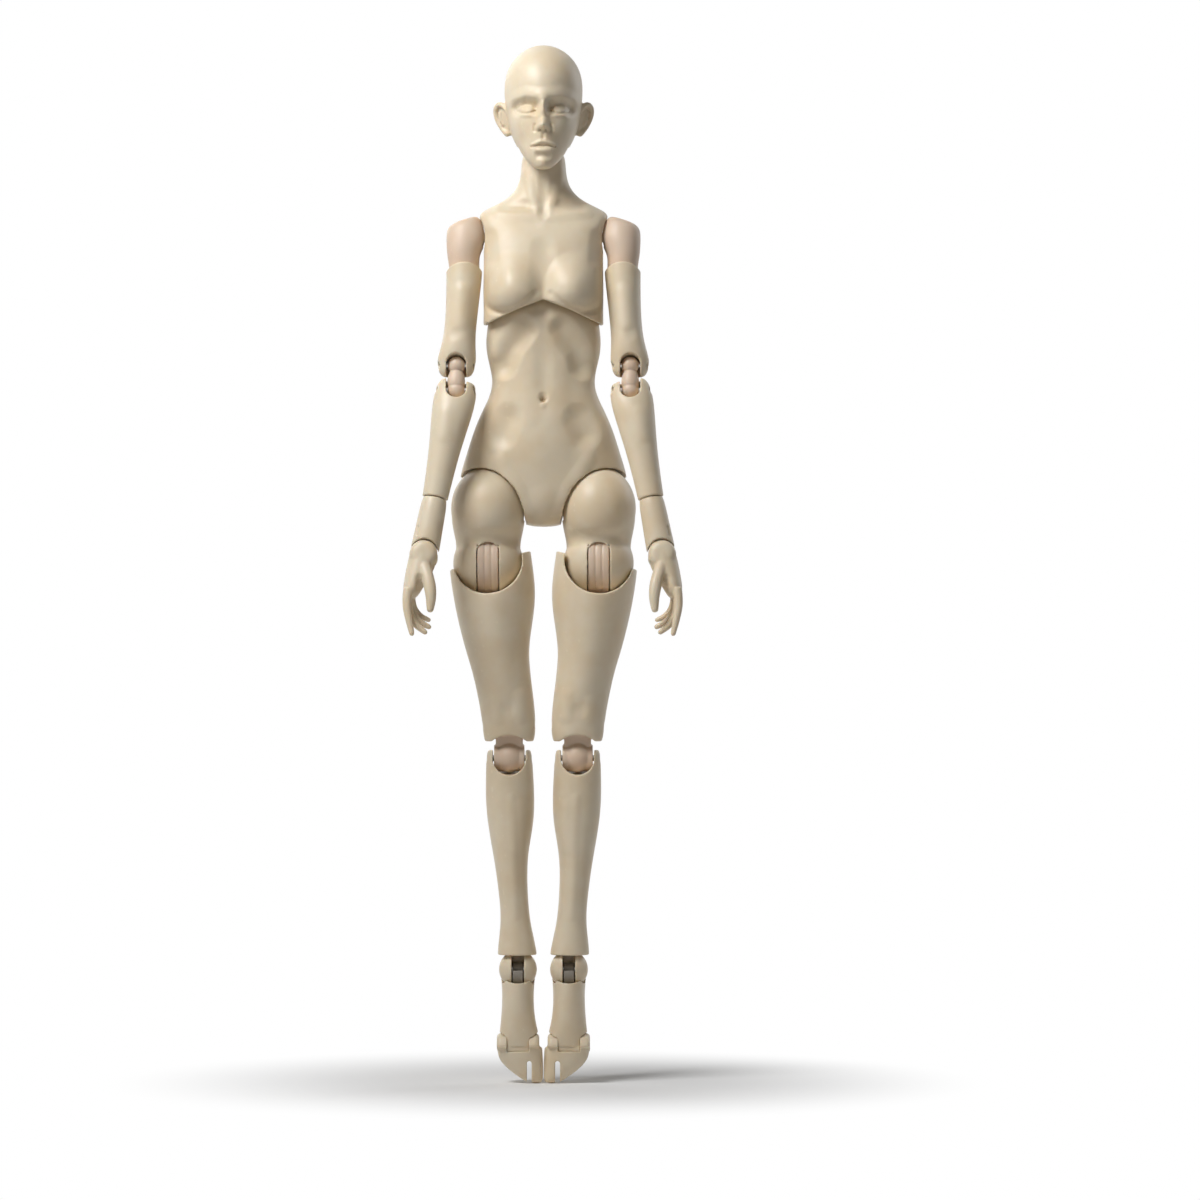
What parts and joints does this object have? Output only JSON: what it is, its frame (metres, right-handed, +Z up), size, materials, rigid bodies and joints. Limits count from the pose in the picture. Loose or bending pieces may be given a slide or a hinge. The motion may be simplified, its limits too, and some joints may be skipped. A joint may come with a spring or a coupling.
{
  "type": "ball-jointed doll body",
  "caption": "Bald ball-jointed doll body with peanut-link elbows and knees, tabbed hips and ankles, hinged toes and a turning head, held in a pose by stiff joints.",
  "frame": {"origin": "saddle point under the crotch, midway between the legs", "axes": "+Z up along the body, +X to the doll's own left, and the doll faces -Y"},
  "size_m": [0.0802, 0.0451, 0.303],
  "materials": {
    "ivory_plastic": "satin moulded plastic, ivory, slightly translucent",
    "joint_plastic": "satin moulded plastic, pinkish beige, on links, caps and tabs",
    "dark_tab_plastic": "dull dark grey plastic on the ankle tabs",
    "pin_steel": "plain drawn steel"
  },
  "bodies": {
    "pelvis": {"pelvis": "ivory_plastic", "waist_pin": "pin_steel"},
    "waist_link": {"waist_link": "joint_plastic"},
    "chest": {"chest": "ivory_plastic"},
    "neck_ball": {"neck_ball": "joint_plastic"},
    "head": {"head_face": "ivory_plastic", "head_cap": "ivory_plastic", "head_pin": "pin_steel"},
    "left_shoulder_swivel": {"left_shoulder_swivel": "joint_plastic"},
    "left_shoulder_cap": {"left_shoulder_cap": "joint_plastic", "left_shoulder_pin": "pin_steel"},
    "left_upper_arm": {"left_upper_arm": "ivory_plastic", "left_elbow_upper_pin": "pin_steel"},
    "left_elbow_link": {"left_elbow_link": "joint_plastic"},
    "left_forearm": {"left_forearm": "ivory_plastic", "left_elbow_lower_pin": "pin_steel"},
    "left_wrist_cuff": {"left_wrist_cuff": "ivory_plastic"},
    "left_hand": {"left_hand": "ivory_plastic"},
    "left_hip_axle": {"left_hip_axle": "joint_plastic"},
    "left_upper_thigh": {"left_upper_thigh": "ivory_plastic", "left_hip_pin": "pin_steel", "left_thigh_pin": "pin_steel"},
    "left_thigh_tab": {"left_thigh_tab": "joint_plastic"},
    "left_thigh": {"left_thigh": "ivory_plastic", "left_knee_upper_pin": "pin_steel"},
    "left_knee_link": {"left_knee_link": "joint_plastic"},
    "left_shin": {"left_shin": "ivory_plastic", "left_knee_lower_pin": "pin_steel"},
    "left_ankle_ball": {"left_ankle_ball": "ivory_plastic", "left_ankle_pin": "pin_steel"},
    "left_foot": {"left_foot": "ivory_plastic", "left_ankle_tab": "dark_tab_plastic"},
    "left_toes": {"left_toes": "ivory_plastic"},
    "right_shoulder_swivel": {"right_shoulder_swivel": "joint_plastic"},
    "right_shoulder_cap": {"right_shoulder_cap": "joint_plastic", "right_shoulder_pin": "pin_steel"},
    "right_upper_arm": {"right_upper_arm": "ivory_plastic", "right_elbow_upper_pin": "pin_steel"},
    "right_elbow_link": {"right_elbow_link": "joint_plastic"},
    "right_forearm": {"right_forearm": "ivory_plastic", "right_elbow_lower_pin": "pin_steel"},
    "right_wrist_cuff": {"right_wrist_cuff": "ivory_plastic"},
    "right_hand": {"right_hand": "ivory_plastic"},
    "right_hip_axle": {"right_hip_axle": "joint_plastic"},
    "right_upper_thigh": {"right_upper_thigh": "ivory_plastic", "right_hip_pin": "pin_steel", "right_thigh_pin": "pin_steel"},
    "right_thigh_tab": {"right_thigh_tab": "joint_plastic"},
    "right_thigh": {"right_thigh": "ivory_plastic", "right_knee_upper_pin": "pin_steel"},
    "right_knee_link": {"right_knee_link": "joint_plastic"},
    "right_shin": {"right_shin": "ivory_plastic", "right_knee_lower_pin": "pin_steel"},
    "right_ankle_ball": {"right_ankle_ball": "ivory_plastic", "right_ankle_pin": "pin_steel"},
    "right_foot": {"right_foot": "ivory_plastic", "right_ankle_tab": "dark_tab_plastic"},
    "right_toes": {"right_toes": "ivory_plastic"}
  },
  "joints": [
    {"name": "chest_bend", "type": "hinge", "parent": "pelvis", "child": "waist_link", "pos_m": [0, -0.0003, 0.06], "axis": [1, 0, 0], "range_deg": [-8, 12]},
    {"name": "chest_turn", "type": "hinge", "parent": "waist_link", "child": "chest", "pos_m": [0, -0.0003, 0.06], "axis": [0, 0, 1], "range_deg": [-6, 6]},
    {"name": "head_turn", "type": "hinge", "parent": "chest", "child": "neck_ball", "pos_m": [0, 0.0018, 0.1126], "axis": [0, 0, 1], "range_deg": [-50, 50]},
    {"name": "head_nod", "type": "hinge", "parent": "neck_ball", "child": "head", "pos_m": [0, 0.0018, 0.1126], "axis": [1, 0, 0], "range_deg": [-12, 12]},
    {"name": "left_shoulder_swing", "type": "hinge", "parent": "chest", "child": "left_shoulder_swivel", "pos_m": [0.0229, 0.0005, 0.084], "axis": [1, 0, 0], "range_deg": [-150, 40]},
    {"name": "left_shoulder_raise", "type": "hinge", "parent": "left_shoulder_swivel", "child": "left_shoulder_cap", "pos_m": [0.0229, 0.0005, 0.084], "axis": [0, -0.9781, 0.2079], "range_deg": [0, 85]},
    {"name": "left_upper_arm_twist", "type": "hinge", "parent": "left_shoulder_cap", "child": "left_upper_arm", "pos_m": [0.0229, -0.00129, 0.07559], "axis": [0, 0.2079, 0.9781], "range_deg": [-70, 20]},
    {"name": "left_elbow_upper", "type": "hinge", "parent": "left_upper_arm", "child": "left_elbow_link", "pos_m": [0.0251, -0.00746, 0.04654], "axis": [-1, 0, 0], "range_deg": [0, 70]},
    {"name": "left_elbow_lower", "type": "hinge", "parent": "left_elbow_link", "child": "left_forearm", "pos_m": [0.0251, -0.009, 0.0393], "axis": [-1, 0, 0], "range_deg": [0, 65]},
    {"name": "left_forearm_twist", "type": "hinge", "parent": "left_forearm", "child": "left_wrist_cuff", "pos_m": [0.031, -0.01562, 0.00814], "axis": [-0.1822, 0.2044, 0.9618], "range_deg": [-80, 80]},
    {"name": "left_wrist_bend", "type": "hinge", "parent": "left_wrist_cuff", "child": "left_hand", "pos_m": [0.03414, -0.01914, -0.0084], "axis": [0, 0.9781, -0.2079], "range_deg": [-40, 40]},
    {"name": "left_hip_swing", "type": "hinge", "parent": "pelvis", "child": "left_hip_axle", "pos_m": [0.016, -0.0005, 0.0054], "axis": [-1, 0, 0], "range_deg": [-20, 62]},
    {"name": "left_hip_spread", "type": "hinge", "parent": "left_hip_axle", "child": "left_upper_thigh", "pos_m": [0.016, -0.0005, 0.0054], "axis": [0, -1, 0], "range_deg": [0, 25]},
    {"name": "left_thigh_bend", "type": "hinge", "parent": "left_upper_thigh", "child": "left_thigh_tab", "pos_m": [0.016, -0.0005, -0.0105], "axis": [1, 0, 0], "range_deg": [-22, 8]},
    {"name": "left_thigh_twist", "type": "hinge", "parent": "left_thigh_tab", "child": "left_thigh", "pos_m": [0.016, -0.0005, -0.0105], "axis": [0, 0, -1], "range_deg": [-10, 10]},
    {"name": "left_knee_upper", "type": "hinge", "parent": "left_thigh", "child": "left_knee_link", "pos_m": [0.0099, -0.0005, -0.0575], "axis": [1, 0, 0], "range_deg": [0, 65]},
    {"name": "left_knee_lower", "type": "hinge", "parent": "left_knee_link", "child": "left_shin", "pos_m": [0.0099, -0.0005, -0.067], "axis": [1, 0, 0], "range_deg": [0, 60]},
    {"name": "left_ankle_turn", "type": "hinge", "parent": "left_shin", "child": "left_ankle_ball", "pos_m": [0.0074, -0.0005, -0.1282], "axis": [0, 0, 1], "range_deg": [-25, 25]},
    {"name": "left_ankle_flex", "type": "hinge", "parent": "left_ankle_ball", "child": "left_foot", "pos_m": [0.0074, -0.0005, -0.1282], "axis": [-1, 0, 0], "range_deg": [0, 60]},
    {"name": "left_toe_flex", "type": "hinge", "parent": "left_foot", "child": "left_toes", "pos_m": [0.0074, -0.00156, -0.1511], "axis": [-1, 0, 0], "range_deg": [-15, 28]},
    {"name": "right_shoulder_swing", "type": "hinge", "parent": "chest", "child": "right_shoulder_swivel", "pos_m": [-0.0229, 0.0005, 0.084], "axis": [1, 0, 0], "range_deg": [-150, 40]},
    {"name": "right_shoulder_raise", "type": "hinge", "parent": "right_shoulder_swivel", "child": "right_shoulder_cap", "pos_m": [-0.0229, 0.0005, 0.084], "axis": [0, 0.9781, -0.2079], "range_deg": [0, 85]},
    {"name": "right_upper_arm_twist", "type": "hinge", "parent": "right_shoulder_cap", "child": "right_upper_arm", "pos_m": [-0.0229, -0.00129, 0.07559], "axis": [0, -0.2079, -0.9781], "range_deg": [-70, 20]},
    {"name": "right_elbow_upper", "type": "hinge", "parent": "right_upper_arm", "child": "right_elbow_link", "pos_m": [-0.0251, -0.00746, 0.04654], "axis": [-1, 0, 0], "range_deg": [0, 70]},
    {"name": "right_elbow_lower", "type": "hinge", "parent": "right_elbow_link", "child": "right_forearm", "pos_m": [-0.0251, -0.009, 0.0393], "axis": [-1, 0, 0], "range_deg": [0, 65]},
    {"name": "right_forearm_twist", "type": "hinge", "parent": "right_forearm", "child": "right_wrist_cuff", "pos_m": [-0.031, -0.01562, 0.00814], "axis": [-0.1822, -0.2044, -0.9618], "range_deg": [-80, 80]},
    {"name": "right_wrist_bend", "type": "hinge", "parent": "right_wrist_cuff", "child": "right_hand", "pos_m": [-0.03414, -0.01914, -0.0084], "axis": [0, -0.9781, 0.2079], "range_deg": [-40, 40]},
    {"name": "right_hip_swing", "type": "hinge", "parent": "pelvis", "child": "right_hip_axle", "pos_m": [-0.016, -0.0005, 0.0054], "axis": [-1, 0, 0], "range_deg": [-20, 62]},
    {"name": "right_hip_spread", "type": "hinge", "parent": "right_hip_axle", "child": "right_upper_thigh", "pos_m": [-0.016, -0.0005, 0.0054], "axis": [0, 1, 0], "range_deg": [0, 25]},
    {"name": "right_thigh_bend", "type": "hinge", "parent": "right_upper_thigh", "child": "right_thigh_tab", "pos_m": [-0.016, -0.0005, -0.0105], "axis": [1, 0, 0], "range_deg": [-22, 8]},
    {"name": "right_thigh_twist", "type": "hinge", "parent": "right_thigh_tab", "child": "right_thigh", "pos_m": [-0.016, -0.0005, -0.0105], "axis": [0, 0, 1], "range_deg": [-10, 10]},
    {"name": "right_knee_upper", "type": "hinge", "parent": "right_thigh", "child": "right_knee_link", "pos_m": [-0.0099, -0.0005, -0.0575], "axis": [1, 0, 0], "range_deg": [0, 65]},
    {"name": "right_knee_lower", "type": "hinge", "parent": "right_knee_link", "child": "right_shin", "pos_m": [-0.0099, -0.0005, -0.067], "axis": [1, 0, 0], "range_deg": [0, 60]},
    {"name": "right_ankle_turn", "type": "hinge", "parent": "right_shin", "child": "right_ankle_ball", "pos_m": [-0.0074, -0.0005, -0.1282], "axis": [0, 0, -1], "range_deg": [-25, 25]},
    {"name": "right_ankle_flex", "type": "hinge", "parent": "right_ankle_ball", "child": "right_foot", "pos_m": [-0.0074, -0.0005, -0.1282], "axis": [-1, 0, 0], "range_deg": [0, 60]},
    {"name": "right_toe_flex", "type": "hinge", "parent": "right_foot", "child": "right_toes", "pos_m": [-0.0074, -0.00156, -0.1511], "axis": [-1, 0, 0], "range_deg": [-15, 28]}
  ]
}
